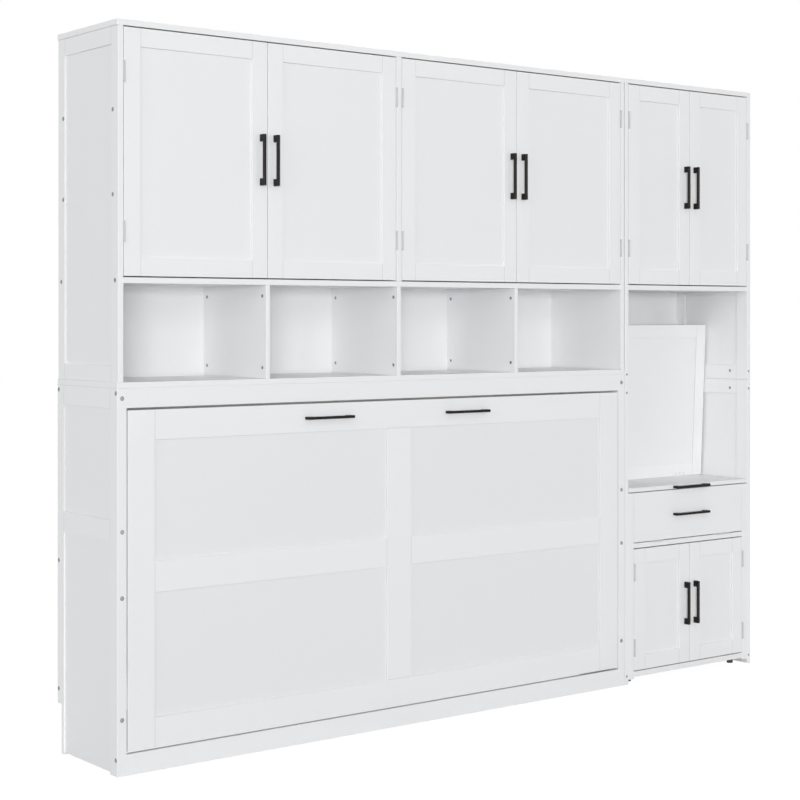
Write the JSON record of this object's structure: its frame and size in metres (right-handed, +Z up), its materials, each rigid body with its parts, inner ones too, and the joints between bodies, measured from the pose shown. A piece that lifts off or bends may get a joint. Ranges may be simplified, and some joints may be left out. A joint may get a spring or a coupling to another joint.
{
  "type": "wall bed with fold down desk",
  "caption": "White wall bed cabinet with a front that folds down onto legs, cubbies and cupboards above, and a desk cabinet beside it with a sliding desktop, fold-down leaf and flap.",
  "frame": {"origin": "on the floor, at the middle of the overall width and of the overall depth with the pulls", "axes": "+X to the right along the front, +Y back towards the wall, +Z up"},
  "size_m": [2.797, 0.41, 2.24],
  "materials": {
    "painted_board": "smooth satin white paint on board",
    "painted_steel": "white powder coat",
    "pull_metal": "satin dark bronze",
    "bright_steel": "zinc plated",
    "black_steel": "satin black",
    "birch": "bare laminated birch",
    "glide": "moulded black"
  },
  "bodies": {
    "cabinet": {"bed_side_frame_left": "painted_board", "bed_side_frame_right": "painted_board", "bed_side_panels": "painted_board", "bed_top_rail": "painted_board", "bed_plinth": "painted_board", "wall_rails": "painted_board", "hutch_floor_board": "painted_board", "hutch_side_left": "painted_board", "hutch_side_right": "painted_board", "hutch_center_panel": "painted_board", "hutch_middle_board": "painted_board", "hutch_top_board": "painted_board", "hutch_back_panel": "painted_board", "cubby_dividers": "painted_board", "hutch_shelves": "painted_board", "desk_side_left": "painted_board", "desk_side_right": "painted_board", "desk_top_board": "painted_board", "desk_middle_board": "painted_board", "desk_shelves": "painted_board", "desk_compartment_board": "painted_board", "desk_base_board": "painted_board", "desk_back_panel": "painted_board", "desk_runners_outer": "bright_steel", "desk_glides": "glide", "cabinet_hinge_leaves": "painted_steel", "bed_pivot_brackets": "bright_steel", "frame_bolts": "bright_steel"},
    "bed": {"bed_front_frame": "painted_board", "bed_front_panels": "painted_board", "bed_pulls": "pull_metal", "bed_rails": "painted_board", "bed_slats": "birch", "bed_rail_fittings": "bright_steel"},
    "legs": {"bed_legs": "bright_steel"},
    "strut_cylinders": {"gas_strut_cylinders": "black_steel"},
    "strut_rods": {"gas_strut_rods": "bright_steel"},
    "desk_slide": {"desktop": "painted_board", "desktop_pull": "pull_metal", "desk_runners_inner": "bright_steel", "leaf_hinges": "painted_steel"},
    "leaf": {"desk_leaf": "painted_board"},
    "flap": {"desk_flap": "painted_board", "desk_flap_pull": "pull_metal"},
    "cupboard_door_1": {"hutch_door_1": "painted_board", "hutch_door_1_pull": "pull_metal"},
    "cupboard_door_2": {"hutch_door_2": "painted_board", "hutch_door_2_pull": "pull_metal"},
    "cupboard_door_3": {"hutch_door_3": "painted_board", "hutch_door_3_pull": "pull_metal"},
    "cupboard_door_4": {"hutch_door_4": "painted_board", "hutch_door_4_pull": "pull_metal"},
    "desk_upper_door_left_body": {"desk_upper_door_left": "painted_board", "desk_upper_door_left_pull": "pull_metal"},
    "desk_upper_door_right_body": {"desk_upper_door_right": "painted_board", "desk_upper_door_right_pull": "pull_metal"},
    "desk_lower_door_left_body": {"desk_lower_door_left": "painted_board", "desk_lower_door_left_pull": "pull_metal"},
    "desk_lower_door_right_body": {"desk_lower_door_right": "painted_board", "desk_lower_door_right_pull": "pull_metal"}
  },
  "joints": [
    {"name": "bed_fold", "type": "hinge", "parent": "cabinet", "child": "bed", "pos_m": [-0.3465, -0.148, 0.24], "axis": [1, 0, 0], "range_deg": [0, 90], "stiffness_Nm_per_rad": 17, "springref_deg": -179.91},
    {"name": "leg_swing", "type": "hinge", "parent": "bed", "child": "legs", "pos_m": [-0.3465, -0.12, 1.066], "axis": [1, 0, 0], "range_deg": [0, 243]},
    {"name": "strut_tilt", "type": "hinge", "parent": "cabinet", "child": "strut_cylinders", "pos_m": [-0.3465, 0.12, 0.526], "axis": [1, 0, 0], "range_deg": [-2.11, 0]},
    {"name": "strut_stroke", "type": "slide", "parent": "strut_cylinders", "child": "strut_rods", "axis": [0, -0.5616, -0.8274], "range_m": [-0.1101, 0]},
    {"name": "desktop_slide", "type": "slide", "parent": "cabinet", "child": "desk_slide", "axis": [0, -1, 0], "range_m": [0, 0.25]},
    {"name": "leaf_fold", "type": "hinge", "parent": "desk_slide", "child": "leaf", "pos_m": [1.053, 0.058, 0.7247], "axis": [1, 0, 0], "range_deg": [0, 87.5]},
    {"name": "flap_drop", "type": "hinge", "parent": "cabinet", "child": "flap", "pos_m": [1.053, -0.1832, 0.52], "axis": [1, 0, 0], "range_deg": [0, 90]},
    {"name": "cupboard_door_1_swing", "type": "hinge", "parent": "cabinet", "child": "cupboard_door_1", "pos_m": [-1.3763, -0.1832, 1.84925], "axis": [0, 0, -1], "range_deg": [0, 110]},
    {"name": "cupboard_door_2_swing", "type": "hinge", "parent": "cabinet", "child": "cupboard_door_2", "pos_m": [-0.3587, -0.1832, 1.84925], "axis": [0, 0, 1], "range_deg": [0, 85]},
    {"name": "cupboard_door_3_swing", "type": "hinge", "parent": "cabinet", "child": "cupboard_door_3", "pos_m": [-0.3343, -0.1832, 1.84925], "axis": [0, 0, -1], "range_deg": [0, 85]},
    {"name": "cupboard_door_4_swing", "type": "hinge", "parent": "cabinet", "child": "cupboard_door_4", "pos_m": [0.6833, -0.1832, 1.84925], "axis": [0, 0, 1], "range_deg": [0, 88]},
    {"name": "desk_upper_door_left_swing", "type": "hinge", "parent": "cabinet", "child": "desk_upper_door_left_body", "pos_m": [0.7267, -0.1832, 1.84925], "axis": [0, 0, -1], "range_deg": [0, 88]},
    {"name": "desk_upper_door_right_swing", "type": "hinge", "parent": "cabinet", "child": "desk_upper_door_right_body", "pos_m": [1.3793, -0.1832, 1.84925], "axis": [0, 0, 1], "range_deg": [0, 110]},
    {"name": "desk_lower_door_left_swing", "type": "hinge", "parent": "cabinet", "child": "desk_lower_door_left_body", "pos_m": [0.7547, -0.1832, 0.272], "axis": [0, 0, -1], "range_deg": [0, 90]},
    {"name": "desk_lower_door_right_swing", "type": "hinge", "parent": "cabinet", "child": "desk_lower_door_right_body", "pos_m": [1.3513, -0.1832, 0.272], "axis": [0, 0, 1], "range_deg": [0, 110]}
  ],
  "couplings": [
    {"joint": "leg_swing", "follows": "bed_fold", "ratio": 2.7},
    {"joint": "strut_tilt", "follows": "bed_fold", "ratio": -0.023435},
    {"joint": "strut_stroke", "follows": "bed_fold", "m_per_rad": -0.070072}
  ]
}
